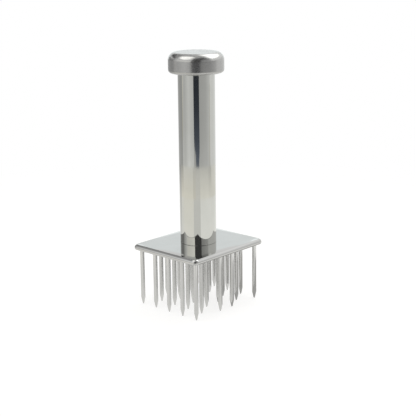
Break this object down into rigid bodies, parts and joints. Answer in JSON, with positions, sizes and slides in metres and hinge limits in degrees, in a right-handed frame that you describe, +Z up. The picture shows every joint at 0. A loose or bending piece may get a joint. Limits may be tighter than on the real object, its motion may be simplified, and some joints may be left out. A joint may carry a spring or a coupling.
{
  "type": "needle meat tenderizer",
  "caption": "Hand-held stainless steel meat tenderizer: a flat plate of long pointed needles under an upright tubular handle with a round palm cap.",
  "frame": {"origin": "on the level of the needle tips, under the middle of the plate", "axes": "+Z up the handle from needle tips to cap, +X along the plate's longer side, +Y along its shorter side"},
  "size_m": [0.07, 0.06, 0.175],
  "materials": {
    "polished_tube": "polished",
    "polished_plate": "polished",
    "satin_cap": "satin",
    "needle_steel": "satin",
    "machined_steel": "satin"
  },
  "bodies": {
    "root": {"head_plate": "polished_plate", "plate_stud": "machined_steel", "foot_plug": "machined_steel", "handle_tube": "polished_tube", "cap_base": "satin_cap", "cap_crown": "satin_cap", "needle_01": "needle_steel", "needle_02": "needle_steel", "needle_03": "needle_steel", "needle_04": "needle_steel", "needle_05": "needle_steel", "needle_06": "needle_steel", "needle_07": "needle_steel", "needle_08": "needle_steel", "needle_09": "needle_steel", "needle_10": "needle_steel", "needle_11": "needle_steel", "needle_12": "needle_steel", "needle_13": "needle_steel", "needle_14": "needle_steel", "needle_15": "needle_steel", "needle_16": "needle_steel", "needle_17": "needle_steel", "needle_18": "needle_steel", "needle_19": "needle_steel", "needle_20": "needle_steel", "needle_21": "needle_steel", "needle_22": "needle_steel", "needle_23": "needle_steel", "needle_24": "needle_steel", "needle_25": "needle_steel", "needle_26": "needle_steel", "needle_27": "needle_steel", "needle_28": "needle_steel"}
  },
  "joints": []
}
